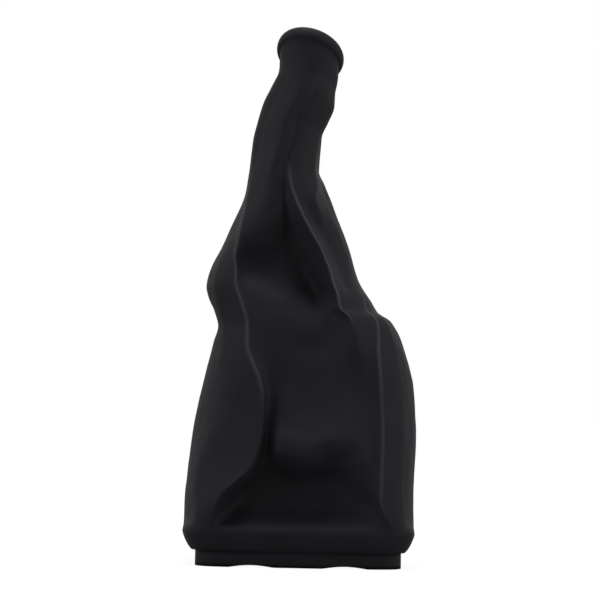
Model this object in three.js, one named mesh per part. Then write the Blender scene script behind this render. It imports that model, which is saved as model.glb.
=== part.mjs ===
// A soft handbrake boot, moulded in one piece: a folded sleeve from a stepped oblong base to a round neck.
// Millimetres, +Z up, standing on its lower edge, with the long side of the base towards -Y.
import * as THREE from "three";

// Base
const BASE_LENGTH = 125.4;
const BASE_DEPTH = 75;
const BASE_SQUARENESS = 6;
const SKIRT_HEIGHT = 8.5;
const SKIRT_INSET = 7;
const SHOULDER_WIDTH = 2;
const LEDGE_HEIGHT = 10;
const LEDGE_FULLNESS = 1.3;
const EDGE_ARCH_HEIGHT = 1.2;
const EDGE_ARCH_WIDTH = 24;
const EDGE_ARCH_SPACING = 50;

// Sleeve
const SLEEVE_HEIGHT = 261.5;
const WALL = 1.6;
const FOLD_DEPTH = 10;
const FOOT_BLEND = 7;

// Neck and the rolled bead round its mouth
const NECK_DIAMETER = 33;
const NECK_CENTRE = 1;
const MOUTH_LEAN_RIGHT = 12;
const MOUTH_LEAN_BACK = 26;
const SLANT_BLEND = 72;
const ROUND_BLEND = 26;
const NECK_BLEND = 18;
const BEAD_HEIGHT = 7.4;
const BEAD_PROUD = 2.2;
const BEAD_MIDDLE = 0.45;

// Fineness of the surface
const LEDGE_STEPS = 5;
const EVENING_PASSES = 60;
const CREST_ROOM = 0.15;
const SHARPEST = 0.45;
const SLEEVE_ROWS = 47;
const BEAD_STEPS = 8;
const BEAD_FROM = -60;
const BEAD_TO = 215;

// Outlines of the sleeve: [share of its height, share of half the base].
const leftOutline = [
  [0, 0.997], [0.052, 0.995], [0.12, 0.975], [0.208, 0.935], [0.306, 0.861], [0.39, 0.772],
  [0.423, 0.732], [0.454, 0.77], [0.485, 0.829], [0.507, 0.853], [0.528, 0.84], [0.592, 0.724],
  [0.641, 0.632], [0.705, 0.526], [0.758, 0.493], [0.827, 0.459], [0.858, 0.429], [0.891, 0.388],
  [0.926, 0.321], [0.961, 0.262], [1, 0.24],
];
const rightOutline = [
  [0, 1], [0.052, 0.994], [0.12, 0.998], [0.208, 1.01], [0.257, 0.997], [0.306, 0.978], [0.34, 0.949],
  [0.39, 0.887], [0.424, 0.823], [0.443, 0.764], [0.458, 0.66], [0.485, 0.59], [0.522, 0.49],
  [0.592, 0.394], [0.641, 0.319], [0.701, 0.228], [0.728, 0.177], [0.758, 0.123], [0.827, 0.136],
  [0.861, 0.195], [0.895, 0.246], [0.931, 0.252], [0.965, 0.26], [1, 0.285],
];
const frontOutline = [
  [0, 1], [0.152, 0.95], [0.309, 0.88], [0.487, 0.78], [0.684, 0.62], [0.822, 0.5], [1, 0.43],
];
const backOutline = [
  [0, 1], [0.112, 0.97], [0.309, 0.9], [0.457, 0.84], [0.605, 0.68], [0.803, 0.52], [1, 0.43],
];
const squareness = [[0, 5], [0.309, 3.2], [0.704, 2.3], [1, 2]];

// How softly the surface turns at a fold line, from 0 for a crease to 1: [share of the height, softness].
const soft = [[0, 1], [1, 1]];
const rounded = [[0, 0.75], [0.77, 0.75], [0.86, 1], [1, 1]];
const creased = [[0, 0.22], [0.77, 0.22], [0.86, 1], [1, 1]];
const creasedAbove = [[0, 0.9], [0.34, 0.8], [0.42, 0.22], [0.77, 0.22], [0.86, 1], [1, 1]];
const creasedTwice = [
  [0, 0.22], [0.49, 0.22], [0.53, 0.9], [0.63, 0.9], [0.68, 0.3], [0.77, 0.3], [0.86, 1], [1, 1],
];

// Fold lines round the sleeve, from the left edge over the front to the right edge and back behind.
// Each point is [share of the height, share across from -1 left to 1 right, share of the fold depth
// that it stands out]. steps is the faces up to the next line.
const foldLines = [
  { name: "left edge", side: -1, softness: soft, steps: 4, points: [[0, -1, 0], [1, -1, 0]] },
  {
    name: "left cheek", side: -1, softness: rounded, steps: 3,
    points: [
      [0, -0.87, 0], [0.112, -0.84, 0], [0.201, -0.73, 0.1], [0.26, -0.66, 0.2], [0.3, -0.68, 0.4],
      [0.359, -0.8, 0.4], [0.418, -0.93, 0.1], [0.507, -0.86, 0.2], [0.605, -0.93, 0],
      [0.753, -0.96, 0], [1, -0.87, 0],
    ],
  },
  {
    name: "left ridge", side: -1, softness: creased, steps: 2,
    points: [
      [0, -0.73, 0.1], [0.043, -0.72, 0.35], [0.073, -0.69, 0.5], [0.102, -0.6, 0.6],
      [0.127, -0.46, 0.65], [0.156, -0.375, 0.65], [0.211, -0.365, 0.65], [0.28, -0.36, 0.65],
      [0.314, -0.38, 0.65], [0.339, -0.47, 0.6], [0.374, -0.57, 0.5], [0.423, -0.66, 0.45],
      [0.477, -0.61, 0.5], [0.526, -0.6, 0.55], [0.576, -0.72, 0.5], [0.605, -0.77, 0.45],
      [0.645, -0.83, 0.35], [0.694, -0.92, 0.2], [0.753, -0.88, -0.1], [0.803, -0.8, -0.2],
      [0.862, -0.66, -0.15], [0.911, -0.5, -0.05], [1, -0.5, 0],
    ],
  },
  {
    name: "left hollow", side: -1, softness: soft, steps: 2,
    points: [
      [0, -0.62, 0], [0.033, -0.6, -0.6], [0.058, -0.56, -1.15], [0.082, -0.5, -1.2],
      [0.117, -0.39, -0.95], [0.152, -0.325, -0.6], [0.181, -0.315, -0.35], [0.221, -0.315, -0.3],
      [0.27, -0.315, -0.2], [0.304, -0.33, -0.05], [0.339, -0.39, 0.05], [0.374, -0.46, 0.2],
      [0.423, -0.52, 0.25], [0.477, -0.5, 0.2], [0.517, -0.49, 0.1], [0.536, -0.5, -0.1],
      [0.556, -0.53, -0.6], [0.576, -0.56, -0.65], [0.6, -0.58, -0.15], [0.62, -0.6, 0.2],
      [0.65, -0.62, 0.22], [0.694, -0.6, 0.2], [0.753, -0.5, 0.2], [0.803, -0.42, 0.2],
      [0.872, -0.32, 0.15], [0.931, -0.28, 0.05], [1, -0.28, 0],
    ],
  },
  {
    name: "left of the belly", side: -1, softness: soft, steps: 2,
    points: [
      [0, -0.38, 0], [0.028, -0.38, -0.6], [0.043, -0.38, -1.2], [0.063, -0.36, -1.5],
      [0.08, -0.32, -1.45], [0.1, -0.27, -1.25], [0.125, -0.24, -0.95], [0.145, -0.22, -0.5],
      [0.16, -0.215, 0], [0.175, -0.21, 0.5], [0.195, -0.205, 0.7], [0.23, -0.205, 0.5],
      [0.27, -0.21, 0.15], [0.31, -0.21, 0.05], [0.369, -0.25, 0.15], [0.428, -0.27, 0.2],
      [0.477, -0.25, 0], [0.507, -0.25, -0.3], [0.53, -0.27, -0.75], [0.556, -0.3, -1.1],
      [0.58, -0.33, -0.95], [0.605, -0.36, -0.3], [0.625, -0.37, 0], [0.65, -0.38, 0.08],
      [0.694, -0.36, 0.12], [0.753, -0.3, 0.12], [0.803, -0.2, 0.1], [0.872, -0.12, 0.05],
      [1, -0.05, 0],
    ],
  },
  {
    name: "middle of the belly", side: -1, softness: soft, steps: 3,
    points: [
      [0, 0, 0], [0.028, 0, -0.6], [0.043, 0, -1.15], [0.063, 0, -1.5], [0.08, 0, -1.5],
      [0.1, 0.01, -1.25], [0.118, 0.02, -0.8], [0.135, 0.03, -0.15], [0.15, 0.03, 0.4],
      [0.165, 0.04, 0.8], [0.18, 0.04, 0.95], [0.215, 0.04, 0.65], [0.25, 0.03, 0.2],
      [0.29, 0.03, 0.05], [0.34, 0.02, 0.05], [0.375, 0.02, -0.1], [0.395, 0.04, 0.05],
      [0.415, 0.05, 0.15], [0.44, 0.06, 0.05], [0.462, 0.07, -0.2], [0.484, 0.1, -0.6],
      [0.502, 0.11, -1.1], [0.52, 0.1, -1.3], [0.546, 0.07, -1.3], [0.58, 0.01, -1.05],
      [0.62, -0.06, -0.6], [0.66, -0.12, -0.15], [0.694, -0.14, 0], [0.743, -0.12, 0], [0.803, 0, 0],
      [0.882, 0.04, -0.12], [0.931, 0.02, -0.05], [1, 0.15, 0],
    ],
  },
  {
    name: "right of the belly", side: -1, softness: soft, steps: 3,
    points: [
      [0, 0.3, 0], [0.028, 0.3, -0.5], [0.043, 0.3, -1], [0.068, 0.3, -1.35], [0.102, 0.3, -1.3],
      [0.128, 0.29, -1.1], [0.15, 0.28, -0.6], [0.168, 0.28, 0.2], [0.187, 0.28, 0.8],
      [0.205, 0.28, 0.8], [0.24, 0.27, 0.4], [0.27, 0.26, 0.15], [0.314, 0.25, 0.2], [0.344, 0.26, 0.3],
      [0.375, 0.28, 0.25], [0.408, 0.3, 0.15], [0.438, 0.32, 0.05], [0.462, 0.36, -0.4],
      [0.482, 0.42, -1.05], [0.5, 0.45, -1.4], [0.546, 0.38, -1.3], [0.595, 0.26, -0.95],
      [0.645, 0.12, -0.45], [0.694, 0, -0.05], [0.743, 0, 0], [0.793, 0.16, -0.15],
      [0.832, 0.24, -0.25], [0.882, 0.21, -0.25], [0.931, 0.1, -0.1], [1, 0.35, 0],
    ],
  },
  {
    name: "middle ridge", side: -1, softness: creasedAbove, steps: 2,
    points: [
      [0, 0.66, 0], [0.033, 0.65, -0.4], [0.058, 0.62, -0.8], [0.082, 0.58, -0.8], [0.104, 0.55, -0.4],
      [0.127, 0.52, 0.15], [0.15, 0.51, 0.5], [0.18, 0.5, 0.55], [0.23, 0.5, 0.25], [0.285, 0.5, 0.05],
      [0.344, 0.5, 0.1], [0.398, 0.55, 0.2], [0.443, 0.57, 0.35], [0.487, 0.66, 0.6],
      [0.526, 0.74, 0.65], [0.571, 0.68, 0.6], [0.61, 0.57, 0.6], [0.655, 0.4, 0.55],
      [0.689, 0.23, 0.45], [0.719, 0.12, 0.35], [0.768, 0.13, 0.2], [0.803, 0.3, 0.05],
      [0.862, 0.5, 0.15], [0.921, 0.52, 0.1], [1, 0.6, 0],
    ],
  },
  {
    name: "right slope", side: -1, softness: rounded, steps: 2,
    points: [
      [0, 0.73, 0], [0.063, 0.68, -0.1], [0.112, 0.63, 0.05], [0.171, 0.61, 0.2], [0.23, 0.6, 0.2],
      [0.359, 0.62, 0.15], [0.408, 0.66, 0.15], [0.457, 0.74, 0.3], [0.497, 0.82, 0.25],
      [0.526, 0.83, 0.2], [0.571, 0.76, 0.25], [0.61, 0.67, 0.3], [0.655, 0.48, 0.4], [0.689, 0.4, 0.4],
      [0.719, 0.42, 0.3], [0.768, 0.5, 0.2], [0.803, 0.62, 0.15], [0.862, 0.7, 0.25],
      [0.921, 0.75, 0.2], [1, 0.8, 0],
    ],
  },
  {
    name: "right ridge", side: -1, softness: creasedTwice, steps: 2,
    points: [
      [0, 0.79, 0.1], [0.038, 0.74, 0.3], [0.073, 0.7, 0.4], [0.112, 0.7, 0.45], [0.3, 0.69, 0.45],
      [0.359, 0.71, 0.4], [0.408, 0.75, 0.4], [0.457, 0.85, 0.35], [0.497, 0.92, 0.25],
      [0.531, 0.92, 0.15], [0.571, 0.86, 0.1], [0.61, 0.77, 0.15], [0.655, 0.6, 0.4],
      [0.684, 0.61, 0.5], [0.714, 0.76, 0.55], [0.749, 0.9, 0.55], [0.793, 0.93, 0.35],
      [0.832, 0.9, 0.1], [1, 0.92, 0],
    ],
  },
  {
    name: "right cheek", side: -1, softness: rounded, steps: 4,
    points: [
      [0, 0.9, 0], [0.112, 0.86, -0.1], [0.23, 0.85, 0], [0.339, 0.86, 0.1], [0.408, 0.9, 0],
      [0.457, 0.93, 0], [0.497, 0.97, 0], [0.571, 0.93, -0.1], [0.61, 0.88, -0.25], [0.669, 0.82, -0.4],
      [0.704, 0.88, -0.3], [0.749, 0.97, -0.1], [0.822, 0.97, 0], [1, 0.97, 0],
    ],
  },
  { name: "right edge", side: 1, softness: soft, steps: 4, points: [[0, 1, 0], [1, 1, 0]] },
  {
    name: "back right fold", side: 1, softness: rounded, steps: 3,
    points: [
      [0, 0.75, 0], [0.112, 0.72, 0.1], [0.309, 0.7, 0.35], [0.428, 0.72, 0.3], [0.507, 0.7, 0.2],
      [0.655, 0.6, 0.3], [0.803, 0.6, 0.2], [1, 0.7, 0],
    ],
  },
  {
    name: "back right hollow", side: 1, softness: soft, steps: 3,
    points: [
      [0, 0.35, 0], [0.092, 0.35, -0.4], [0.211, 0.35, -0.3], [0.339, 0.32, 0.1], [0.457, 0.3, -0.3],
      [0.556, 0.25, -0.5], [0.684, 0.2, -0.1], [0.852, 0.25, -0.2], [1, 0.35, 0],
    ],
  },
  {
    name: "back middle", side: 1, softness: rounded, steps: 3,
    points: [
      [0, 0, 0], [0.092, 0, -0.45], [0.191, 0, -0.1], [0.309, -0.02, 0.25], [0.428, -0.05, 0.1],
      [0.526, -0.1, 0.3], [0.625, -0.1, 0.25], [0.753, -0.15, 0.2], [0.882, -0.05, 0.15], [1, 0, 0],
    ],
  },
  {
    name: "back left hollow", side: 1, softness: soft, steps: 3,
    points: [
      [0, -0.35, 0], [0.092, -0.36, -0.35], [0.211, -0.38, -0.35], [0.359, -0.4, -0.2],
      [0.487, -0.42, -0.4], [0.605, -0.45, -0.3], [0.753, -0.45, -0.2], [0.882, -0.4, -0.1],
      [1, -0.35, 0],
    ],
  },
  {
    name: "back left fold", side: 1, softness: rounded, steps: 4,
    points: [
      [0, -0.75, 0], [0.112, -0.73, 0.1], [0.26, -0.72, 0.3], [0.408, -0.75, 0.15], [0.507, -0.8, 0.25],
      [0.625, -0.75, 0.3], [0.803, -0.72, 0.15], [1, -0.7, 0],
    ],
  },
];

const radians = THREE.MathUtils.degToRad;
const mix = THREE.MathUtils.lerp;
const smooth = THREE.MathUtils.smoothstep;

// The value of column number `column` of a list of points at a share of the height, on a curve
// that never swings past its points.
function along(points, column, up) {
  let i = 0;
  while (i < points.length - 2 && up > points[i + 1][0]) i += 1;
  const slope = (k) => (points[k + 1][column] - points[k][column]) / (points[k + 1][0] - points[k][0]);
  const tangent = (k) => {
    if (k === 0 || k === points.length - 1) return 0;
    const before = slope(k - 1);
    const after = slope(k);
    return before * after <= 0 ? 0 : (2 * before * after) / (before + after);
  };
  const length = points[i + 1][0] - points[i][0];
  const t = THREE.MathUtils.clamp((up - points[i][0]) / length, 0, 1);
  const a = points[i][column];
  const b = points[i + 1][column];
  const [ma, mb] = [tangent(i) * length, tangent(i + 1) * length];
  return (
    a * (2 * t ** 3 - 3 * t ** 2 + 1) + ma * (t ** 3 - 2 * t ** 2 + t) +
    b * (3 * t ** 2 - 2 * t ** 3) + mb * (t ** 3 - t ** 2)
  );
}

// How fully the sleeve has taken the neck's own form, which it starts to do at a length below the mouth.
function nearMouth(up, length) {
  return smooth(up, 1 - length / SLEEVE_HEIGHT, 1);
}

// How far the mouth's slant lifts a point of the sleeve at this share of the height.
function slant(up, x, y) {
  const right = (x - NECK_CENTRE) * Math.tan(radians(MOUTH_LEAN_RIGHT));
  const back = y * Math.tan(radians(MOUTH_LEAN_BACK));
  return -(right + back) * nearMouth(up, SLANT_BLEND);
}

// The left or right edge of the sleeve, seen from the front.
function edge(side, up) {
  const neck = NECK_CENTRE + (side * NECK_DIAMETER) / 2;
  const lifted = up + slant(up, neck, 0) / SLEEVE_HEIGHT;
  const outline = side < 0 ? leftOutline : rightOutline;
  const x = (side * BASE_LENGTH * along(outline, 1, Math.min(lifted, 1))) / 2;
  return mix(x, neck, nearMouth(up, NECK_BLEND));
}

// The points where the fold lines cross a level section of the sleeve. foldDepth is zero on the plain
// body that carries the folds.
function foldPoints(up, foldDepth) {
  const left = edge(-1, up);
  const right = edge(1, up);
  const middle = (left + right) / 2;
  const half = (right - left) / 2;
  const power = along(squareness, 1, up);
  return foldLines.map(({ side, points }) => {
    const across = along(points, 1, up);
    const outline = side < 0 ? frontOutline : backOutline;
    const body = (BASE_DEPTH / 2) * along(outline, 1, up);
    const depth = mix(body, NECK_DIAMETER / 2, nearMouth(up, ROUND_BLEND));
    const out = along(points, 2, up) * foldDepth;
    const y = depth * (1 - Math.abs(across) ** power) ** (1 / power);
    return new THREE.Vector2(middle + half * across, side * (y + out));
  });
}

// A closed smooth curve through the fold points, turning softly or sharply as each line says.
function section(up, foldDepth) {
  const points = foldPoints(up, foldDepth);
  const count = points.length;
  const at = (i) => points[(i + count) % count];
  const gap = (i) => at(i).distanceTo(at(i + 1));
  const softness = (i) => along(foldLines[i % count].softness, 1, up);
  const tangent = (i) =>
    at(i + 1).clone().sub(at(i - 1)).multiplyScalar(softness(i) / (gap(i - 1) + gap(i)));
  const curve = [];
  foldLines.forEach(({ steps }, i) => {
    const [from, to, length] = [tangent(i), tangent(i + 1), gap(i)];
    for (let s = 0; s < steps; s += 1) {
      const t = s / steps;
      curve.push(
        new THREE.Vector2()
          .addScaledVector(at(i), 2 * t ** 3 - 3 * t ** 2 + 1)
          .addScaledVector(from, length * (t ** 3 - 2 * t ** 2 + t))
          .addScaledVector(at(i + 1), 3 * t ** 2 - 2 * t ** 3)
          .addScaledVector(to, length * (t ** 3 - t ** 2)),
      );
    }
  });
  return curve;
}

// The point of the base's oblong outline, drawn in by an inset, that lies in a point's direction.
function onBase(point, inset) {
  const across = Math.abs(point.x) / (BASE_LENGTH / 2 - inset);
  const deep = Math.abs(point.y) / (BASE_DEPTH / 2 - inset);
  const reach = (across ** BASE_SQUARENESS + deep ** BASE_SQUARENESS) ** (1 / BASE_SQUARENESS);
  return point.clone().divideScalar(reach);
}

// How far the lower edge arches up at a place along the base.
function edgeArch(x) {
  const away = Math.abs(Math.abs(x) - EDGE_ARCH_SPACING / 2) / (EDGE_ARCH_WIDTH / 2);
  return away < 1 ? EDGE_ARCH_HEIGHT * Math.cos((away * Math.PI) / 2) : 0;
}

// The point of the round neck that lies in a point's direction.
function onNeck(point) {
  const centre = new THREE.Vector2(NECK_CENTRE, 0);
  return point.clone().sub(centre).setLength(NECK_DIAMETER / 2).add(centre);
}

const LEDGE_TOP = SKIRT_HEIGHT + LEDGE_HEIGHT;

// One row of the outer face of the base, at a height and an inset.
function baseRow(height, inset) {
  return section(0, 0).map((point) => {
    const { x, y } = onBase(point, inset);
    return new THREE.Vector3(x, y, height === 0 ? edgeArch(x) : height);
  });
}

// One row of the outer face of the sleeve, which flows out of the ledge and into the round neck.
function sleeveRow(up) {
  const foot = section(0, 0);
  const mouth = section(1, 0);
  const risen = smooth(up, 0, FOOT_BLEND / SLEEVE_HEIGHT);
  return section(up, FOLD_DEPTH).map((point, j) => {
    const folded = onBase(foot[j], 0).lerp(point, risen);
    const { x, y } = folded.lerp(onNeck(mouth[j]), nearMouth(up, NECK_BLEND));
    return new THREE.Vector3(x, y, LEDGE_TOP + up * SLEEVE_HEIGHT + slant(up, x, y));
  });
}

// The outer face, from the lower edge up to the foot of the bead.
function outerRows() {
  const lip = SKIRT_INSET - SHOULDER_WIDTH;
  const rows = [baseRow(0, SKIRT_INSET), baseRow(SKIRT_HEIGHT, SKIRT_INSET), baseRow(SKIRT_HEIGHT, lip)];
  for (let k = 1; k <= LEDGE_STEPS; k += 1) {
    const turn = (k / LEDGE_STEPS) * (Math.PI / 2);
    const rise = LEDGE_HEIGHT * (1 - Math.cos(turn) ** (2 / LEDGE_FULLNESS));
    rows.push(baseRow(SKIRT_HEIGHT + rise, lip * (1 - Math.sin(turn) ** (2 / LEDGE_FULLNESS))));
  }
  rows.push(sleeveRow(FOOT_BLEND / 2 / SLEEVE_HEIGHT));
  const foot = FOOT_BLEND / SLEEVE_HEIGHT;
  for (let k = 0; k <= SLEEVE_ROWS; k += 1) rows.push(sleeveRow(mix(foot, 1, k / SLEEVE_ROWS)));
  return rows;
}

// The way a row runs at one of its points: midway between the steps before and after it, and shorter
// than 1 the more sharply the row turns there.
function heading(row, j) {
  const count = row.length;
  const before = row[j].clone().sub(row[(j + count - 1) % count]).normalize();
  const after = row[(j + 1) % count].clone().sub(row[j]).normalize();
  return before.add(after).divideScalar(2);
}

// The outward direction at each point of a grid of rows.
function normals(rows) {
  return rows.map((row, k) =>
    row.map((_, j) => {
      const above = rows[Math.min(k + 1, rows.length - 1)][j];
      const upward = above.clone().sub(rows[Math.max(k - 1, 0)][j]);
      return heading(row, j).cross(upward).normalize();
    }),
  );
}

// The inner face, a wall's thickness behind the outer one, and so deeper behind a crest. Where a crest is
// so sharp that the inner face would run backwards behind it, its points are evened out until they don't.
function innerRows(outer, outward) {
  const count = outer[0].length;
  return outer.map((ring, k) => {
    let row = ring.map((point, j) => {
      const depth = WALL / Math.max(heading(ring, j).length(), SHARPEST);
      return point.clone().addScaledVector(outward[k][j], -depth);
    });
    const step = (points, j) => points[(j + 1) % count].clone().sub(points[j]);
    const ahead = (j) => step(row, j).dot(step(ring, j)) / step(ring, j).lengthSq();
    for (let pass = 0; pass < EVENING_PASSES; pass += 1) {
      const tight = row.map((_, j) => ahead(j) < CREST_ROOM);
      row = row.map((point, j) => {
        const before = (j + count - 1) % count;
        if (!tight[j] && !tight[before]) return point;
        return point.clone().add(row[before]).add(row[(j + 1) % count]).divideScalar(3);
      });
    }
    return row;
  });
}

// The rolled bead, from its foot on the outer face over the mouth to the inner face.
function beadRows(mouth, outward) {
  const axis = new THREE.Vector3(
    Math.tan(radians(MOUTH_LEAN_RIGHT)), Math.tan(radians(MOUTH_LEAN_BACK)), 1).normalize();
  const centre = new THREE.Vector2((BEAD_PROUD - WALL) / 2, BEAD_HEIGHT * BEAD_MIDDLE);
  const radius = new THREE.Vector2((BEAD_PROUD + WALL) / 2, BEAD_HEIGHT / 2);
  const rows = [];
  for (let s = 0; s < BEAD_STEPS; s += 1) {
    const turn = radians(mix(BEAD_FROM, BEAD_TO, s / (BEAD_STEPS - 1)));
    const out = centre.x + radius.x * Math.cos(turn);
    const up = centre.y + radius.y * Math.sin(turn);
    rows.push(
      mouth.map((point, j) => {
        const flat = outward[j].clone().addScaledVector(axis, -outward[j].dot(axis)).normalize();
        return point.clone().addScaledVector(flat, out).addScaledVector(axis, up);
      }),
    );
  }
  return rows;
}

// A closed skin over rows of points, each row a ring and the last row joined to the first.
function skin(rows) {
  const count = rows[0].length;
  const positions = rows.flat().flatMap(({ x, y, z }) => [x, y, z]);
  const triangles = [];
  rows.forEach((_, k) => {
    const below = k * count;
    const above = ((k + 1) % rows.length) * count;
    for (let j = 0; j < count; j += 1) {
      const next = (j + 1) % count;
      triangles.push(below + j, below + next, above + next, below + j, above + next, above + j);
    }
  });
  const geometry = new THREE.BufferGeometry();
  geometry.setAttribute("position", new THREE.Float32BufferAttribute(positions, 3));
  geometry.setIndex(triangles);
  return geometry;
}

function bootGeometry() {
  const outer = outerRows();
  const outward = normals(outer);
  const bead = beadRows(outer.at(-1), outward.at(-1));
  const geometry = skin([...outer, ...bead, ...innerRows(outer, outward).reverse()]);
  geometry.computeBoundingBox();
  const middle = geometry.boundingBox.getCenter(new THREE.Vector3());
  geometry.translate(-middle.x, -middle.y, -geometry.boundingBox.min.z);
  geometry.computeVertexNormals();
  return geometry;
}

const softVinyl = new THREE.MeshStandardMaterial({ color: 0x24252a, roughness: 0.62, metalness: 0 });

const boot = new THREE.Mesh(bootGeometry(), softVinyl);
boot.name = "boot";

const part = new THREE.Group();
part.add(boot);

export default part;
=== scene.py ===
import math

import bpy
import numpy as np
from mathutils import Matrix, Vector


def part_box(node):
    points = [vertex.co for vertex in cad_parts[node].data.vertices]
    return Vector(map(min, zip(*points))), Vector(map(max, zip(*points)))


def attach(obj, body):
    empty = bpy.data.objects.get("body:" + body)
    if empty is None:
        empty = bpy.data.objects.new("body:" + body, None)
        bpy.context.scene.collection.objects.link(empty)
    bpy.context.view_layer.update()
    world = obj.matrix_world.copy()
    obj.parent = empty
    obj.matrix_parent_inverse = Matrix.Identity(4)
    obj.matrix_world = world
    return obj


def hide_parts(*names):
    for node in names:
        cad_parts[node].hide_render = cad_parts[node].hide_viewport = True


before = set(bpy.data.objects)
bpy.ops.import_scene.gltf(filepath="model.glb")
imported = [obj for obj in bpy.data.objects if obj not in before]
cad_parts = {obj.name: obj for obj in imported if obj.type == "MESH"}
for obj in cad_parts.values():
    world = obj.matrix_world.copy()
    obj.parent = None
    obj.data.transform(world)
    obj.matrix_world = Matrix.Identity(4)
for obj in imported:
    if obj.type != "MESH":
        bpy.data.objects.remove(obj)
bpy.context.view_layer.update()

# A soft moulded handbrake boot: a creased sleeve from a stepped oblong base up to a beaded neck.
scene = bpy.context.scene
scene.view_settings.view_transform = "Standard"

# The camera looks almost level at the front of the boot from about a metre away, a little below its
# middle, and leans by a degree as in the photograph.
CAMERA_DISTANCE = 1.0
CAMERA_HEIGHT = 0.07
CAMERA_LEAN = math.radians(1.1)
AIM = Vector((-0.002, 0, 0.1449))
FRAME_WIDTH = 0.3312
SENSOR_WIDTH = 36
SIGHT_LIMIT = 20

camera_data = bpy.data.cameras.new("camera")
camera = bpy.data.objects.new("camera", camera_data)
scene.collection.objects.link(camera)
camera.location = (AIM.x, AIM.y - CAMERA_DISTANCE, CAMERA_HEIGHT)
sight = AIM - camera.location
turn = sight.to_track_quat("-Z", "Y").to_matrix().to_4x4()
lean = Matrix.Rotation(CAMERA_LEAN, 4, "Z")
camera.matrix_world = Matrix.Translation(camera.location) @ turn @ lean
camera_data.sensor_width = SENSOR_WIDTH
camera_data.lens = SENSOR_WIDTH * sight.length / FRAME_WIDTH
camera_data.clip_end = SIGHT_LIMIT
scene.camera = camera

# The boot itself. By its look the real one is a single moulding of soft vinyl, with no seam: a thin even
# skin, open at both ends, that has settled into long creases. Its ledge rests on the console, and its neck
# grips the lever.
BASE_LENGTH = 0.1254
BASE_DEPTH = 0.075
BASE_SQUARENESS = 6
SKIRT_HEIGHT = 0.0085
SKIRT_INSET = 0.0070
SHOULDER_WIDTH = 0.0020
LEDGE_HEIGHT = 0.0100
LEDGE_FULLNESS = 1.3
EDGE_ARCH_HEIGHT = 0.0012
EDGE_ARCH_WIDTH = 0.024
EDGE_ARCH_SPACING = 0.05
SLEEVE_HEIGHT = 0.2615
WALL = 0.0016
FOLD_DEPTH = 0.01
NECK_DIAMETER = 0.033
NECK_CENTRE = 0.0010
MOUTH_LEAN_RIGHT = math.radians(12)
MOUTH_LEAN_BACK = math.radians(26)
BEAD_HEIGHT = 0.0074
BEAD_PROUD = 0.0022
FOOT_BLEND = 0.007
SLANT_BLEND = 0.072
ROUND_BLEND = 0.026
NECK_BLEND = 0.018
LEDGE_TOP = SKIRT_HEIGHT + LEDGE_HEIGHT

# Fineness of the skin: rows up each part of it, and faces round it for each step of a fold line. The
# inside is hardly seen, and keeps only every so many rows.
SKIRT_ROWS = 5
SHOULDER_ROWS = 4
LEDGE_ROWS = 13
SLEEVE_ROWS = 190
FINER = 5
INSIDE_SKIP = 2

# The bead's roll, in degrees from level, and how much of its height lies under its middle.
BEAD_STEPS = 20
BEAD_FROM = -60
BEAD_TO = 215
BEAD_MIDDLE = 0.45

# Behind a sharp turn the inner face is set further back: the straightness under which it goes no further,
# the least share of a step that it keeps before it's evened, and the most times that it's evened.
SHARPEST = 0.45
CREST_ROOM = 0.15
EVENING_PASSES = 600

# Outlines: (share of the sleeve's height, share of half the base). Squareness: 2 is round, more is squarer.
LEFT_OUTLINE = [
  (0, 0.997), (0.052, 0.995), (0.12, 0.975), (0.208, 0.935), (0.306, 0.861), (0.39, 0.772),
  (0.423, 0.732), (0.454, 0.77), (0.485, 0.829), (0.507, 0.853), (0.528, 0.84), (0.592, 0.724),
  (0.641, 0.632), (0.705, 0.526), (0.758, 0.493), (0.827, 0.459), (0.858, 0.429), (0.891, 0.388),
  (0.926, 0.321), (0.961, 0.262), (1, 0.24),
]
RIGHT_OUTLINE = [
  (0, 1), (0.052, 0.994), (0.12, 0.998), (0.208, 1.01), (0.257, 0.997), (0.306, 0.978),
  (0.34, 0.949), (0.39, 0.887), (0.424, 0.823), (0.443, 0.764), (0.458, 0.66), (0.485, 0.59),
  (0.522, 0.49), (0.592, 0.394), (0.641, 0.319), (0.701, 0.228), (0.728, 0.177), (0.758, 0.123),
  (0.827, 0.136), (0.861, 0.195), (0.895, 0.246), (0.931, 0.252), (0.965, 0.26), (1, 0.285),
]
FRONT_OUTLINE = [
  (0, 1), (0.152, 0.95), (0.309, 0.88), (0.487, 0.78), (0.684, 0.62), (0.822, 0.5), (1, 0.43),
]
BACK_OUTLINE = [
  (0, 1), (0.112, 0.97), (0.309, 0.9), (0.457, 0.84), (0.605, 0.68), (0.803, 0.52), (1, 0.43),
]
SQUARENESS = [(0, 5), (0.309, 3.2), (0.704, 2.3), (1, 2)]

# How softly the surface turns at a line, from 0 for a crease to 1, at shares of the sleeve's height.
SOFT = [(0, 1), (1, 1)]
ROUND = [(0, 0.75), (0.77, 0.75), (0.86, 1), (1, 1)]
CREASED = [(0, 0.22), (0.77, 0.22), (0.86, 1), (1, 1)]
CREASED_ABOVE = [(0, 0.9), (0.34, 0.8), (0.42, 0.22), (0.77, 0.22), (0.86, 1), (1, 1)]
CREASED_TWICE = [
  (0, 0.22), (0.49, 0.22), (0.53, 0.9), (0.63, 0.9), (0.68, 0.3), (0.77, 0.3), (0.86, 1), (1, 1),
]

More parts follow.
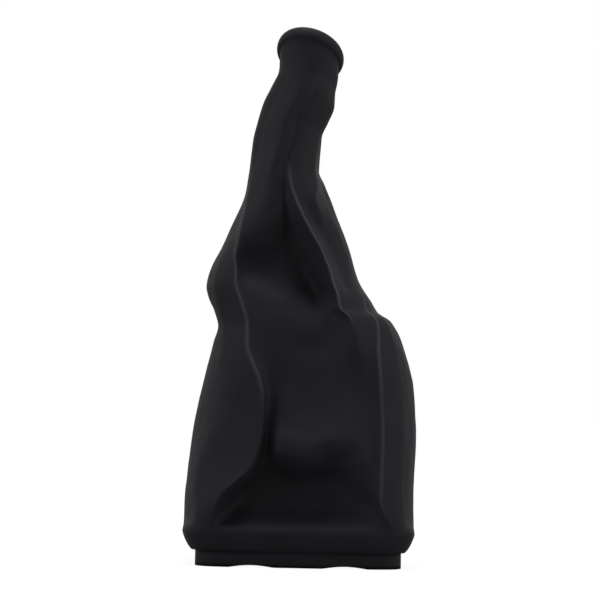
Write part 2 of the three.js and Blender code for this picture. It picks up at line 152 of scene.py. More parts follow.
# The folds, from the left edge across the front and back round behind. Each has a name, the face that it's
# on (-1 front, 1 back), its softness, its steps to the next one, and its points: (share of the sleeve's
# height, place from -1 at the left edge to 1 at the right, how far out as a share of FOLD_DEPTH).
FOLD_LINES = [
    ("left edge", -1, SOFT, 4, [(0, -1, 0), (1, -1, 0)]),
    ("left cheek", -1, ROUND, 3, [
        (0, -0.88, 0), (0.112, -0.88, 0), (0.201, -0.83, 0.1), (0.26, -0.79, 0.18), (0.3, -0.8, 0.3),
        (0.359, -0.86, 0.32), (0.418, -0.94, 0.1), (0.507, -0.87, 0.18), (0.605, -0.93, 0),
        (0.753, -0.96, 0), (1, -0.87, 0)]),
    ("left ridge", -1, CREASED, 2, [
        (0, -0.73, 0.1), (0.043, -0.72, 0.35), (0.073, -0.67, 0.5), (0.102, -0.56, 0.6),
        (0.127, -0.45, 0.62), (0.156, -0.395, 0.6), (0.211, -0.375, 0.58), (0.27, -0.395, 0.58),
        (0.314, -0.46, 0.6), (0.344, -0.54, 0.58), (0.378, -0.62, 0.5), (0.423, -0.665, 0.45),
        (0.477, -0.61, 0.5), (0.526, -0.6, 0.55), (0.576, -0.72, 0.5), (0.605, -0.77, 0.45),
        (0.645, -0.83, 0.35), (0.694, -0.92, 0.2), (0.753, -0.88, -0.1), (0.803, -0.8, -0.2),
        (0.862, -0.66, -0.15), (0.911, -0.5, -0.05), (1, -0.5, 0)]),
    ("left hollow", -1, SOFT, 2, [
        (0, -0.62, 0), (0.03, -0.6, -0.8), (0.055, -0.56, -1.3), (0.08, -0.5, -1.35),
        (0.117, -0.4, -0.95), (0.152, -0.34, -0.4), (0.181, -0.325, -0.15), (0.221, -0.33, -0.1),
        (0.27, -0.335, 0), (0.304, -0.37, 0.08), (0.339, -0.42, 0.15), (0.374, -0.48, 0.22),
        (0.423, -0.52, 0.25), (0.477, -0.5, 0.2), (0.505, -0.49, 0.1), (0.522, -0.5, -0.1),
        (0.54, -0.53, -0.5), (0.56, -0.56, -0.55), (0.59, -0.58, -0.15), (0.62, -0.6, 0.15),
        (0.65, -0.63, 0.18), (0.694, -0.63, 0.12), (0.753, -0.56, 0.05), (0.803, -0.5, 0),
        (0.872, -0.42, 0), (0.931, -0.36, 0), (1, -0.28, 0)]),
    ("left of the belly", -1, SOFT, 2, [
        (0, -0.38, 0), (0.026, -0.38, -0.75), (0.043, -0.38, -1.3), (0.063, -0.36, -1.5),
        (0.08, -0.32, -1.5), (0.1, -0.27, -1.35), (0.12, -0.24, -1.05), (0.137, -0.22, -0.55),
        (0.152, -0.215, 0.05), (0.167, -0.21, 0.42), (0.187, -0.205, 0.5), (0.22, -0.205, 0.3),
        (0.26, -0.21, 0.15), (0.31, -0.21, 0.02), (0.369, -0.25, 0.08), (0.428, -0.27, 0.1),
        (0.47, -0.25, 0), (0.495, -0.25, -0.2), (0.515, -0.27, -0.5), (0.537, -0.3, -0.95),
        (0.562, -0.33, -1.0), (0.598, -0.37, -0.4), (0.63, -0.4, 0), (0.66, -0.42, 0.15),
        (0.694, -0.42, 0.25), (0.741, -0.36, 0.3), (0.783, -0.24, 0.32), (0.83, -0.14, 0.28),
        (0.868, -0.1, 0.2), (0.92, -0.06, 0.06), (1, -0.05, 0)]),
    ("middle of the belly", -1, SOFT, 3, [
        (0, 0, 0), (0.026, 0, -0.75), (0.043, 0, -1.3), (0.063, 0, -1.5), (0.08, 0, -1.5),
        (0.1, 0.01, -1.38), (0.116, 0.02, -0.98), (0.13, 0.03, -0.3), (0.145, 0.03, 0.35),
        (0.16, 0.04, 0.65), (0.175, 0.04, 0.7), (0.21, 0.04, 0.45), (0.25, 0.03, 0.22),
        (0.29, 0.03, 0.1), (0.34, 0.02, 0.05), (0.375, 0.02, -0.05), (0.395, 0.04, 0),
        (0.415, 0.05, 0.05), (0.43, 0.06, 0), (0.455, 0.08, -0.2), (0.475, 0.1, -0.4),
        (0.497, 0.11, -0.75), (0.52, 0.1, -1.05), (0.545, 0.06, -1.2), (0.575, 0.01, -1.1),
        (0.605, -0.04, -0.7), (0.635, -0.09, -0.22), (0.66, -0.12, 0), (0.694, -0.14, 0.08),
        (0.743, -0.1, 0.17), (0.803, 0.04, 0.18), (0.882, 0.06, 0.1), (0.931, 0.06, 0), (1, 0.15, 0)]),
    ("right of the belly", -1, SOFT, 3, [
        (0, 0.3, 0), (0.028, 0.3, -0.7), (0.045, 0.3, -1.15), (0.068, 0.29, -1.35), (0.095, 0.28, -1.3),
        (0.12, 0.27, -1.0), (0.135, 0.26, -0.5), (0.152, 0.27, -0.1), (0.17, 0.27, 0.45),
        (0.19, 0.28, 0.72), (0.225, 0.28, 0.5), (0.26, 0.27, 0.3), (0.314, 0.25, 0.2),
        (0.344, 0.25, 0.2), (0.375, 0.26, 0.15), (0.408, 0.27, 0.05), (0.438, 0.29, -0.05),
        (0.462, 0.32, -0.4), (0.482, 0.35, -0.85), (0.5, 0.37, -1.2), (0.546, 0.31, -1.25),
        (0.595, 0.19, -0.95), (0.625, 0.12, -0.55), (0.655, 0.04, -0.2), (0.694, -0.03, 0.02),
        (0.743, 0.03, 0.12), (0.793, 0.22, 0.06), (0.832, 0.28, 0.03), (0.882, 0.25, 0.05),
        (0.931, 0.2, -0.05), (1, 0.35, 0)]),
    ("middle ridge", -1, CREASED_ABOVE, 2, [
        (0, 0.64, 0), (0.033, 0.63, -0.35), (0.058, 0.6, -0.55), (0.082, 0.56, -0.4),
        (0.104, 0.53, -0.1), (0.127, 0.51, 0.25), (0.15, 0.5, 0.48), (0.18, 0.5, 0.5), (0.23, 0.5, 0.35),
        (0.285, 0.5, 0.2), (0.335, 0.49, 0.3), (0.37, 0.48, 0.48), (0.405, 0.49, 0.6),
        (0.443, 0.51, 0.7), (0.487, 0.59, 0.8), (0.526, 0.635, 0.87), (0.571, 0.575, 0.86),
        (0.61, 0.455, 0.8), (0.655, 0.295, 0.68), (0.689, 0.17, 0.48), (0.719, 0.1, 0.38),
        (0.768, 0.17, 0.24), (0.803, 0.36, 0.18), (0.862, 0.5, 0.22), (0.9, 0.5, 0.25),
        (0.94, 0.52, 0.1), (1, 0.6, 0)]),
    ("right slope", -1, ROUND, 2, [
        (0, 0.73, 0), (0.05, 0.68, 0.1), (0.09, 0.63, 0.32), (0.15, 0.61, 0.45), (0.2, 0.6, 0.4),
        (0.26, 0.6, 0.3), (0.335, 0.61, 0.28), (0.37, 0.62, 0.28), (0.408, 0.64, 0.28),
        (0.457, 0.71, 0.28), (0.497, 0.78, 0.22), (0.526, 0.79, 0.15), (0.571, 0.72, 0.12),
        (0.61, 0.62, 0.15), (0.655, 0.46, 0.3), (0.689, 0.38, 0.4), (0.719, 0.42, 0.3),
        (0.768, 0.5, 0.2), (0.803, 0.62, 0.18), (0.862, 0.7, 0.15), (0.921, 0.75, 0.12), (1, 0.8, 0)]),
    ("right ridge", -1, CREASED_TWICE, 2, [
        (0, 0.79, 0.1), (0.038, 0.73, 0.3), (0.073, 0.69, 0.5), (0.112, 0.69, 0.6), (0.2, 0.68, 0.58),
        (0.3, 0.675, 0.45), (0.359, 0.69, 0.32), (0.408, 0.75, 0.12), (0.457, 0.85, 0.12),
        (0.497, 0.92, 0.15), (0.531, 0.92, 0.1), (0.571, 0.86, 0.08), (0.61, 0.78, 0.1),
        (0.655, 0.66, 0.3), (0.684, 0.64, 0.45), (0.714, 0.76, 0.5), (0.749, 0.88, 0.45),
        (0.793, 0.92, 0.2), (0.832, 0.9, -0.05), (0.9, 0.9, -0.05), (1, 0.92, 0)]),
    ("right cheek", -1, ROUND, 4, [
        (0, 0.9, 0), (0.112, 0.88, -0.05), (0.23, 0.88, 0), (0.339, 0.88, 0.05), (0.408, 0.9, 0),
        (0.457, 0.94, 0), (0.497, 0.97, 0), (0.571, 0.95, 0.1), (0.61, 0.92, 0.15), (0.64, 0.89, 0.1),
        (0.669, 0.86, -0.1), (0.704, 0.88, -0.3), (0.749, 0.97, -0.1), (0.822, 0.97, 0), (1, 0.97, 0)]),
    ("right edge", 1, SOFT, 4, [(0, 1, 0), (1, 1, 0)]),
    ("back right fold", 1, ROUND, 3, [
        (0, 0.75, 0), (0.112, 0.72, 0.1), (0.309, 0.7, 0.35), (0.428, 0.72, 0.3), (0.507, 0.7, 0.2),
        (0.655, 0.6, 0.3), (0.803, 0.6, 0.2), (1, 0.7, 0)]),
    ("back right hollow", 1, SOFT, 3, [
        (0, 0.35, 0), (0.092, 0.35, -0.4), (0.211, 0.35, -0.3), (0.339, 0.32, 0.1), (0.457, 0.3, -0.3),
        (0.556, 0.25, -0.5), (0.684, 0.2, -0.1), (0.852, 0.25, -0.2), (1, 0.35, 0)]),
    ("back middle", 1, ROUND, 3, [
        (0, 0, 0), (0.092, 0, -0.45), (0.191, 0, -0.1), (0.309, -0.02, 0.25), (0.428, -0.05, 0.1),
        (0.526, -0.1, 0.3), (0.625, -0.1, 0.25), (0.753, -0.15, 0.2), (0.882, -0.05, 0.15), (1, 0, 0)]),
    ("back left hollow", 1, SOFT, 3, [
        (0, -0.35, 0), (0.092, -0.36, -0.35), (0.211, -0.38, -0.35), (0.359, -0.4, -0.2),
        (0.487, -0.42, -0.4), (0.605, -0.45, -0.3), (0.753, -0.45, -0.2), (0.882, -0.4, -0.1),
        (1, -0.35, 0)]),
    ("back left fold", 1, ROUND, 4, [
        (0, -0.75, 0), (0.112, -0.73, 0.1), (0.26, -0.72, 0.3), (0.408, -0.75, 0.15),
        (0.507, -0.8, 0.25), (0.625, -0.75, 0.3), (0.803, -0.72, 0.15), (1, -0.7, 0)]),
]


def smooth(value, low, high):
    """A soft step from 0 at low to 1 at high."""
    t = np.clip((value - low) / (high - low), 0, 1)
    return t * t * (3 - 2 * t)


def along(points, column, up):
    """A column of a list of points at a share of the height, on a curve that never swings past them."""
    places = [p[0] for p in points]
    values = [p[column] for p in points]
    i = max(0, min(len(points) - 2, np.searchsorted(places, up) - 1))
    slopes = np.diff(values) / np.diff(places)
    tangents = [0.0] * len(points)
    for k in (i, i + 1):
        if 0 < k < len(points) - 1 and slopes[k - 1] * slopes[k] > 0:
            tangents[k] = 2 * slopes[k - 1] * slopes[k] / (slopes[k - 1] + slopes[k])
    length = places[i + 1] - places[i]
    t = min(max((up - places[i]) / length, 0), 1)
    return (
        values[i] * (2 * t**3 - 3 * t**2 + 1) + tangents[i] * length * (t**3 - 2 * t**2 + t)
        + values[i + 1] * (3 * t**2 - 2 * t**3) + tangents[i + 1] * length * (t**3 - t**2)
    )


def slant(up, x, y):
    """How far the mouth's slant lifts a point of the sleeve at this share of the height."""
    rise = -(x - NECK_CENTRE) * math.tan(MOUTH_LEAN_RIGHT) - y * math.tan(MOUTH_LEAN_BACK)
    return rise * smooth(up, 1 - SLANT_BLEND / SLEEVE_HEIGHT, 1)


def edge(side, up):
    """The left or right edge of the sleeve, seen from the front."""
    neck = NECK_CENTRE + side * NECK_DIAMETER / 2
    lifted = up + slant(up, neck, 0) / SLEEVE_HEIGHT
    outline = LEFT_OUTLINE if side < 0 else RIGHT_OUTLINE
    x = side * BASE_LENGTH * along(outline, 1, min(lifted, 1)) / 2
    return x + (neck - x) * smooth(up, 1 - NECK_BLEND / SLEEVE_HEIGHT, 1)


def fold_points(up, fold_depth):
    """The points where the fold lines cross a level section of the sleeve."""
    left, right = edge(-1, up), edge(1, up)
    power = along(SQUARENESS, 1, up)
    places = []
    for line in FOLD_LINES:
        side, points = line[1], line[4]
        across = along(points, 1, up)
        body = BASE_DEPTH / 2 * along(FRONT_OUTLINE if side < 0 else BACK_OUTLINE, 1, up)
        depth = body + (NECK_DIAMETER / 2 - body) * smooth(up, 1 - ROUND_BLEND / SLEEVE_HEIGHT, 1)
        y = depth * max(0, 1 - abs(across) ** power) ** (1 / power)
        out = along(points, 2, up) * fold_depth
        places.append(((left + right) / 2 + (right - left) / 2 * across, side * (y + out)))
    return np.array(places)


def section(up, fold_depth):
    """A closed smooth curve through the fold points, turning softly or sharply as each line says."""
    points = fold_points(up, fold_depth)
    onward = np.roll(points, -1, axis=0)
    gaps = np.linalg.norm(onward - points, axis=1)
    softness = np.array([along(line[2], 1, up) for line in FOLD_LINES])
    speed = (onward - np.roll(points, 1, axis=0)) * (softness / (gaps + np.roll(gaps, 1)))[:, None]
    rows = []
    for i, line in enumerate(FOLD_LINES):
        t = (np.arange(line[3] * FINER) / (line[3] * FINER))[:, None]
        j = (i + 1) % len(points)
        rows.append(
            points[i] * (2 * t**3 - 3 * t**2 + 1) + speed[i] * gaps[i] * (t**3 - 2 * t**2 + t)
            + points[j] * (3 * t**2 - 2 * t**3) + speed[j] * gaps[i] * (t**3 - t**2)
        )
    return np.concatenate(rows)


def on_base(plan, inset):
    """The points of the base's oblong outline, drawn in by an inset, in the directions of a plan."""
    across = np.abs(plan[:, 0]) / (BASE_LENGTH / 2 - inset)
    deep = np.abs(plan[:, 1]) / (BASE_DEPTH / 2 - inset)
    return plan / ((across**BASE_SQUARENESS + deep**BASE_SQUARENESS) ** (1 / BASE_SQUARENESS))[:, None]


plain = section(0, 0)
round_neck = section(1, 0) - (NECK_CENTRE, 0)
round_neck *= NECK_DIAMETER / 2 / np.linalg.norm(round_neck, axis=1)[:, None]
round_neck += (NECK_CENTRE, 0)


def base_row(height, inset):
    """One row of the outer face of the base, at a height and an inset."""
    plan = on_base(plain, inset)
    level = np.full(len(plan), height)
    if height == 0:
        away = np.abs(np.abs(plan[:, 0]) - EDGE_ARCH_SPACING / 2) / (EDGE_ARCH_WIDTH / 2)
        level = np.where(away < 1, EDGE_ARCH_HEIGHT * np.cos(np.clip(away, 0, 1) * math.pi / 2), 0)
    return np.column_stack([plan, level])


def sleeve_row(up):
    """One row of the outer face of the sleeve, flowing out of the ledge at its foot."""
    plan = section(up, FOLD_DEPTH)
    plan += (on_base(plain, 0) - plan) * (1 - smooth(up, 0, FOOT_BLEND / SLEEVE_HEIGHT))
    plan += (round_neck - plan) * smooth(up, 1 - NECK_BLEND / SLEEVE_HEIGHT, 1)
    level = LEDGE_TOP + up * SLEEVE_HEIGHT + slant(up, plan[:, 0], plan[:, 1])
    return np.column_stack([plan, level])


def heading(grid):
    """The way each row runs at its points, shorter than 1 the more sharply the row turns there."""
    step = np.roll(grid, -1, axis=1) - grid
    step /= np.linalg.norm(step, axis=2, keepdims=True)
    return (step + np.roll(step, 1, axis=1)) / 2


# The outer face, from the lower edge over the shoulder and the ledge up to the foot of the bead.
lip = SKIRT_INSET - SHOULDER_WIDTH
rows = [base_row(h, SKIRT_INSET) for h in np.linspace(0, SKIRT_HEIGHT, SKIRT_ROWS)]
rows += [base_row(SKIRT_HEIGHT, inset) for inset in np.linspace(SKIRT_INSET, lip, SHOULDER_ROWS)[1:]]
for turned in np.linspace(0, math.pi / 2, LEDGE_ROWS)[1:]:
    across = math.sin(turned) ** (2 / LEDGE_FULLNESS)
    rise = math.cos(turned) ** (2 / LEDGE_FULLNESS)
    rows.append(base_row(SKIRT_HEIGHT + LEDGE_HEIGHT * (1 - rise), lip * (1 - across)))
rows += [sleeve_row(up) for up in np.linspace(0, 1, SLEEVE_ROWS + 1)[1:]]
outer = np.array(rows)
outward = np.cross(heading(outer), np.gradient(outer, axis=0))
outward /= np.linalg.norm(outward, axis=2, keepdims=True)

# The rolled bead, from its foot on the outer face over the mouth to the inner face.
axis = np.array([math.tan(MOUTH_LEAN_RIGHT), math.tan(MOUTH_LEAN_BACK), 1])
axis /= np.linalg.norm(axis)
flat = outward[-1] - (outward[-1] @ axis)[:, None] * axis
flat /= np.linalg.norm(flat, axis=1, keepdims=True)
bead = []
for turned in np.radians(np.linspace(BEAD_FROM, BEAD_TO, BEAD_STEPS)):
    out = (BEAD_PROUD - WALL) / 2 + (BEAD_PROUD + WALL) / 2 * math.cos(turned)
    rise = BEAD_HEIGHT * (BEAD_MIDDLE + math.sin(turned) / 2)
    bead.append(outer[-1] + flat * out + axis * rise)

# The inner face, a wall's thickness behind the outer one. Behind a crest too sharp for it, where it
# would run backwards, its points are evened out until they don't.
straightness = np.linalg.norm(heading(outer), axis=2, keepdims=True)
inner = outer - outward * WALL / np.maximum(straightness, SHARPEST)
step = np.roll(outer, -1, axis=1) - outer
for repeat in range(EVENING_PASSES):
    ahead = ((np.roll(inner, -1, axis=1) - inner) * step).sum(2) / (step * step).sum(2)
    tight = (ahead < CREST_ROOM) | np.roll(ahead < CREST_ROOM, 1, axis=1)
    if not tight.any():
        break
    inner[tight] = ((inner + np.roll(inner, 1, axis=1) + np.roll(inner, -1, axis=1)) / 3)[tight]

# The whole skin as one closed mesh, set where the solid stands.
shell = np.concatenate([outer, np.array(bead), inner[::-INSIDE_SKIP]])
count = shell.shape[1]
points = shell.reshape(-1, 3)
middle = (points.max(0) + points.min(0)) / 2
low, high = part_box("boot")
offset = (
    (low[0] + high[0]) / 2 - middle[0],
    (low[1] + high[1]) / 2 - middle[1],
    low[2] - points[:, 2].min(),
)
faces = []
for k in range(len(shell)):
    below, above = k * count, (k + 1) % len(shell) * count
    for j in range(count):
        beside = (j + 1) % count
        faces.append((below + j, below + beside, above + beside, above + j))
mesh = bpy.data.meshes.new("moulded_boot")
mesh.from_pydata((points + offset).tolist(), [], faces)
mesh.polygons.foreach_set("use_smooth", [True] * len(faces))

# Painted highlights along the crease crests: how much, at shares of the height, and how far to each side.
CREST_HIGHLIGHT = {
    "left ridge": [
        (0, 0), (0.24, 0.05), (0.32, 0.45), (0.5, 0.5), (0.66, 0.6), (0.73, 0.1), (0.78, 0), (1, 0)],
    "middle ridge": [
        (0, 0), (0.4, 0), (0.48, 0.8), (0.53, 0.9), (0.6, 0.6), (0.69, 0.6), (0.78, 0), (1, 0)],
    "right ridge": [
        (0, 0), (0.03, 0), (0.07, 0.4), (0.2, 0.4), (0.44, 0.45), (0.5, 0.15), (0.54, 0),
        (0.65, 0), (0.7, 0.5), (0.76, 0.4), (0.82, 0), (1, 0)],
}
CREST_HIGHLIGHT_REACH = 0.0018
height = (outer[..., 2] - LEDGE_TOP) / SLEEVE_HEIGHT
# Mask of the painted highlight along the crease crests.
crest_highlight = np.zeros(outer.shape[:2])
starts = np.cumsum([0] + [line[3] * FINER for line in FOLD_LINES])
for line, start in zip(FOLD_LINES, starts):
    if line[0] in CREST_HIGHLIGHT:
        crease = outer[:, start]
        amount = np.array([along(CREST_HIGHLIGHT[line[0]], 1, min(max(up, 0), 1)) for up in height[:, start]])
        away = np.linalg.norm(outer[..., :2] - crease[:, None, :2], axis=2)
        crest_highlight = np.maximum(crest_highlight, amount[:, None] * (1 - smooth(away, 0, CREST_HIGHLIGHT_REACH)))

# Where the skin is loose enough to pucker, at shares of the height, and the patch of the front where it's
# stretched into faint level lines: across and up.
LOOSE_FROM = (0.02, 0.1)
LOOSE_UP_TO = (0.84, 0.95)
STRETCHED_AT = (-0.009, 0.129)
STRETCHED_SIZE = (0.026, 0.022)
STRETCHED_CORE = 0.5
loose = smooth(height, *LOOSE_FROM) * (1 - smooth(height, *LOOSE_UP_TO))
across = (outer[..., 0] - STRETCHED_AT[0]) / STRETCHED_SIZE[0]
upward = (outer[..., 2] - STRETCHED_AT[1]) / STRETCHED_SIZE[1]
stretched = (1 - smooth(np.hypot(across, upward), STRETCHED_CORE, 1)) * (outer[..., 1] < 0)
# The crest attribute carries the painted highlight mask.
for name, values in (("crest", crest_highlight), ("loose", loose), ("stretched", stretched)):
    whole = np.zeros(shell.shape[:2], np.float32)
    whole[:len(outer)] = values
    mesh.attributes.new(name, "FLOAT", "POINT").data.foreach_set("value", whole.ravel())
boot = bpy.data.objects.new("moulded_boot", mesh)
scene.collection.objects.link(boot)

# Soft black vinyl: a dull fine grain, slightly uneven in tone and gloss, with painted highlights on the
# crease crests. Faint level lines show where it's stretched.
DARK_TONE = (0.0068, 0.0071, 0.0083, 1)
PALE_TONE = (0.0134, 0.0139, 0.0161, 1)
# Painted highlight colour for the crease crests.
CREST_HIGHLIGHT_TONE = (0.052, 0.054, 0.059, 1)
SURFACE_SHINE = 0.07
ROUGHNESS_FROM = 0.58
ROUGHNESS_TO = 0.7
UNEVENNESS_SCALE = 28
UNEVENNESS_DETAIL = 3
UNEVENNESS_SQUEEZE = (1, 1, 0.45)
GRAIN_SCALE = 1300
GRAIN_DETAIL = 2
GRAIN_HEIGHT = 0.00006
LINES_SCALE = 240
LINES_WANDER = 9
LINES_DETAIL = 2
LINES_DETAIL_SCALE = 0.4
LINES_HEIGHT = 0.00005
vinyl = bpy.data.materials.new("soft black vinyl")
vinyl.use_nodes = True
nodes, links = vinyl.node_tree.nodes, vinyl.node_tree.links
shader = nodes["Principled BSDF"]
shader.inputs["Specular IOR Level"].default_value = SURFACE_SHINE
place = nodes.new("ShaderNodeTexCoord")
crest = nodes.new("ShaderNodeAttribute")
crest.attribute_name = "crest"
tone = nodes.new("ShaderNodeTexNoise")
tone.inputs["Scale"].default_value = UNEVENNESS_SCALE
tone.inputs["Detail"].default_value = UNEVENNESS_DETAIL
streaks = nodes.new("ShaderNodeMapping")
streaks.inputs["Scale"].default_value = UNEVENNESS_SQUEEZE
links.new(place.outputs["Object"], streaks.inputs["Vector"])
links.new(streaks.outputs["Vector"], tone.inputs["Vector"])
body = nodes.new("ShaderNodeMix")
body.data_type = "RGBA"
body.inputs[6].default_value = DARK_TONE
body.inputs[7].default_value = PALE_TONE
links.new(tone.outputs["Fac"], body.inputs["Factor"])
colour = nodes.new("ShaderNodeMix")
colour.data_type = "RGBA"
# The crest attribute blends in the painted highlight colour.
colour.inputs[7].default_value = CREST_HIGHLIGHT_TONE
links.new(crest.outputs["Fac"], colour.inputs["Factor"])
links.new(body.outputs[2], colour.inputs[6])
links.new(colour.outputs[2], shader.inputs["Base Color"])
gloss = nodes.new("ShaderNodeMapRange")
gloss.inputs["To Min"].default_value = ROUGHNESS_FROM
gloss.inputs["To Max"].default_value = ROUGHNESS_TO
links.new(tone.outputs["Fac"], gloss.inputs["Value"])
links.new(gloss.outputs["Result"], shader.inputs["Roughness"])
grain = nodes.new("ShaderNodeTexNoise")
grain.inputs["Scale"].default_value = GRAIN_SCALE
grain.inputs["Detail"].default_value = GRAIN_DETAIL
links.new(place.outputs["Object"], grain.inputs["Vector"])
lines = nodes.new("ShaderNodeTexWave")
lines.bands_direction = "Z"
lines.inputs["Scale"].default_value = LINES_SCALE
lines.inputs["Distortion"].default_value = LINES_WANDER
lines.inputs["Detail"].default_value = LINES_DETAIL
lines.inputs["Detail Scale"].default_value = LINES_DETAIL_SCALE
links.new(place.outputs["Object"], lines.inputs["Vector"])
pulled = nodes.new("ShaderNodeAttribute")
pulled.attribute_name = "stretched"
faint = nodes.new("ShaderNodeMath")
faint.operation = "MULTIPLY"
links.new(lines.outputs["Fac"], faint.inputs[0])
links.new(pulled.outputs["Fac"], faint.inputs[1])
level_lines = nodes.new("ShaderNodeBump")
level_lines.inputs["Distance"].default_value = LINES_HEIGHT
links.new(faint.outputs["Value"], level_lines.inputs["Height"])
fine_grain = nodes.new("ShaderNodeBump")
fine_grain.inputs["Distance"].default_value = GRAIN_HEIGHT
links.new(grain.outputs["Fac"], fine_grain.inputs["Height"])
links.new(level_lines.outputs["Normal"], fine_grain.inputs["Normal"])
links.new(fine_grain.outputs["Normal"], shader.inputs["Normal"])

# The puckers: the outer face is moved a little in or out along its normal, by noise stretched upwards, and
# only as far as the skin is loose there.
PUCKER_DEPTH = 0.0016
PUCKER_LENGTH = 0.011
PUCKER_STRETCH = 0.45
PUCKER_SEED = 4.0
PUCKER_DETAIL = 1.5
tree = bpy.data.node_groups.new("soft puckers", "GeometryNodeTree")
tree.interface.new_socket("Skin", in_out="OUTPUT", socket_type="NodeSocketGeometry")
tree.interface.new_socket("Skin", in_out="INPUT", socket_type="NodeSocketGeometry")
sizes = {"Depth": PUCKER_DEPTH, "Length": PUCKER_LENGTH, "Stretch": PUCKER_STRETCH, "Seed": PUCKER_SEED}
sockets = {}
for name in sizes:
    sockets[name] = tree.interface.new_socket(name, in_out="INPUT", socket_type="NodeSocketFloat")
gn, gl = tree.nodes, tree.links
source = gn.new("NodeGroupInput")
where = gn.new("GeometryNodeInputPosition")
squeeze = gn.new("ShaderNodeCombineXYZ")
squeeze.inputs["X"].default_value = 1
squeeze.inputs["Y"].default_value = 1
gl.new(source.outputs["Stretch"], squeeze.inputs["Z"])
drawn = gn.new("ShaderNodeVectorMath")
drawn.operation = "MULTIPLY"
gl.new(where.outputs["Position"], drawn.inputs[0])
gl.new(squeeze.outputs["Vector"], drawn.inputs[1])
often = gn.new("ShaderNodeMath")
often.operation = "DIVIDE"
often.inputs[0].default_value = 1
gl.new(source.outputs["Length"], often.inputs[1])
noise = gn.new("ShaderNodeTexNoise")
noise.noise_dimensions = "4D"
noise.inputs["Detail"].default_value = PUCKER_DETAIL
gl.new(drawn.outputs["Vector"], noise.inputs["Vector"])
gl.new(source.outputs["Seed"], noise.inputs["W"])
gl.new(often.outputs["Value"], noise.inputs["Scale"])
swing = gn.new("ShaderNodeMath")
swing.operation = "SUBTRACT"
swing.inputs[1].default_value = 0.5
gl.new(noise.outputs["Fac"], swing.inputs[0])
slack = gn.new("GeometryNodeInputNamedAttribute")
slack.inputs["Name"].default_value = "loose"
sized = gn.new("ShaderNodeMath")
sized.operation = "MULTIPLY"
gl.new(slack.outputs["Attribute"], sized.inputs[0])
gl.new(source.outputs["Depth"], sized.inputs[1])
moved = gn.new("ShaderNodeMath")
moved.operation = "MULTIPLY"
gl.new(swing.outputs["Value"], moved.inputs[0])
gl.new(sized.outputs["Value"], moved.inputs[1])
normal = gn.new("GeometryNodeInputNormal")
shift = gn.new("ShaderNodeVectorMath")
shift.operation = "SCALE"
gl.new(normal.outputs["Normal"], shift.inputs[0])
gl.new(moved.outputs["Value"], shift.inputs["Scale"])
pucker = gn.new("GeometryNodeSetPosition")
gl.new(source.outputs["Skin"], pucker.inputs["Geometry"])
gl.new(shift.outputs["Vector"], pucker.inputs["Offset"])
real = gn.new("GeometryNodeRealizeInstances")
gl.new(pucker.outputs["Geometry"], real.inputs["Geometry"])
dress = gn.new("GeometryNodeSetMaterial")
dress.inputs["Material"].default_value = vinyl
gl.new(real.outputs["Geometry"], dress.inputs["Geometry"])
gl.new(dress.outputs["Geometry"], gn.new("NodeGroupOutput").inputs["Skin"])
modifier = boot.modifiers.new("soft puckers", "NODES")
modifier.node_group = tree
for name, value in sizes.items():
    modifier[sockets[name].identifier] = value
settled = bpy.data.meshes.new_from_object(boot.evaluated_get(bpy.context.evaluated_depsgraph_get()))
settled.name = "moulded_boot"
boot.modifiers.clear()
boot.data = settled
bpy.data.meshes.remove(mesh)
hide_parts("boot")
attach(boot, "root")

# The floor is a plain sheet of pale matt paper, laid flat. Seen directly it glows nearly white round the
# boot, where a little of the shadow is left, and fully white further off. Otherwise it's plain grey.
FLOOR_SIZE = 6.0
FLOOR_WHITENESS = 0.85
FADE_FROM = 0.15
FADE_TO = 0.7
PAPER_TONE = (0.5, 0.5, 0.5, 1)
PAPER_ROUGHNESS = 0.9
PAPER_SHINE = 0.1
GLOW_STRENGTH = 1.1
floor_mesh = bpy.data.meshes.new("floor")
half = FLOOR_SIZE / 2
corners = [(-half, -half, 0), (half, -half, 0), (half, half, 0), (-half, half, 0)]
floor_mesh.from_pydata(corners, [], [(0, 1, 2, 3)])
floor = bpy.data.objects.new("floor", floor_mesh)
scene.collection.objects.link(floor)
paper = bpy.data.materials.new("white paper")
paper.use_nodes = True
pn, pl = paper.node_tree.nodes, paper.node_tree.links
sheet = pn["Principled BSDF"]
sheet.inputs["Base Color"].default_value = PAPER_TONE
sheet.inputs["Roughness"].default_value = PAPER_ROUGHNESS
sheet.inputs["Specular IOR Level"].default_value = PAPER_SHINE
glow = pn.new("ShaderNodeEmission")
glow.inputs["Strength"].default_value = GLOW_STRENGTH
blend = pn.new("ShaderNodeMixShader")
path = pn.new("ShaderNodeLightPath")
share = pn.new("ShaderNodeMath")
share.operation = "MULTIPLY"
spot = pn.new("ShaderNodeTexCoord")
away = pn.new("ShaderNodeVectorMath")
away.operation = "LENGTH"
fade = pn.new("ShaderNodeMapRange")
fade.inputs["From Min"].default_value = FADE_FROM
fade.inputs["From Max"].default_value = FADE_TO
fade.inputs["To Min"].default_value = FLOOR_WHITENESS
fade.inputs["To Max"].default_value = 1.0
pl.new(spot.outputs["Object"], away.inputs[0])
pl.new(away.outputs["Value"], fade.inputs["Value"])
pl.new(fade.outputs["Result"], share.inputs[1])
pl.new(path.outputs["Is Camera Ray"], share.inputs[0])
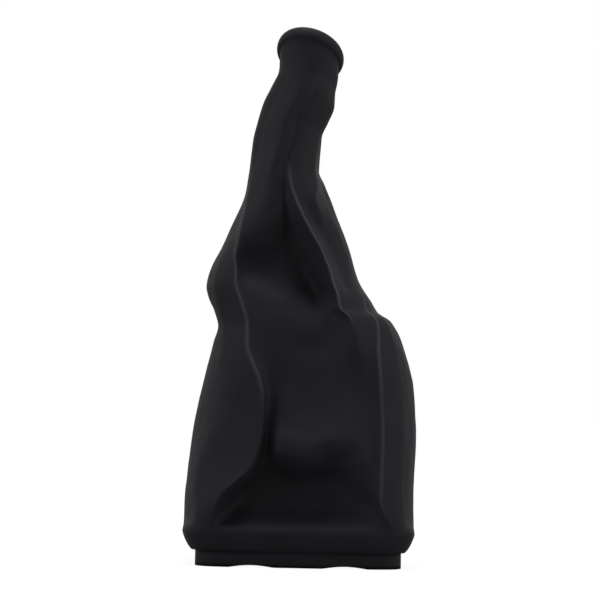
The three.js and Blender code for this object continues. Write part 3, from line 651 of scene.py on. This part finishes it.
pl.new(share.outputs["Value"], blend.inputs["Fac"])
pl.new(sheet.outputs["BSDF"], blend.inputs[1])
pl.new(glow.outputs["Emission"], blend.inputs[2])
pl.new(blend.outputs["Shader"], pn["Material Output"].inputs["Surface"])
floor_mesh.materials.append(paper)

# The room is plain white all round: seen directly, in a gloss or through something it's at full white, and
# as a lamp it's dim.
ROOM_AS_LAMP = 0.22
ROOM_SEEN = 1.0
world = bpy.data.worlds.new("white room")
scene.world = world
world.use_nodes = True
wn, wl = world.node_tree.nodes, world.node_tree.links
room = wn["Background"]
room.inputs["Color"].default_value = (1, 1, 1, 1)
rays = wn.new("ShaderNodeLightPath")
seen = wn.new("ShaderNodeMath")
seen.operation = "ADD"
shown = wn.new("ShaderNodeMath")
shown.operation = "MAXIMUM"
level = wn.new("ShaderNodeMapRange")
level.inputs["To Min"].default_value = ROOM_AS_LAMP
level.inputs["To Max"].default_value = ROOM_SEEN
wl.new(rays.outputs["Is Camera Ray"], seen.inputs[0])
wl.new(rays.outputs["Is Glossy Ray"], seen.inputs[1])
wl.new(seen.outputs["Value"], shown.inputs[0])
wl.new(rays.outputs["Is Transmission Ray"], shown.inputs[1])
wl.new(shown.outputs["Value"], level.inputs["Value"])
wl.new(level.outputs["Result"], room.inputs["Strength"])

# Three plain square soft lamps, one overhead and one to each side, turned towards the boot's middle. Each
# has a name, a place, a size and a power in watts.
LIT_POINT = Vector((0, 0, 0.15))
LAMPS = [
    ("overhead", (0, -0.12, 1.5), 0.9, 20),
    ("left side", (-1.2, -0.5, 0.35), 0.8, 7.8),
    ("right side", (1.2, -0.5, 0.35), 0.8, 7.5),
]
for name, place, size, power in LAMPS:
    lamp_data = bpy.data.lights.new(name, "AREA")
    lamp_data.shape = "SQUARE"
    lamp_data.size = size
    lamp_data.energy = power
    lamp = bpy.data.objects.new(name, lamp_data)
    scene.collection.objects.link(lamp)
    lamp.location = place
    lamp.rotation_euler = (LIT_POINT - Vector(place)).to_track_quat("-Z", "Y").to_euler()
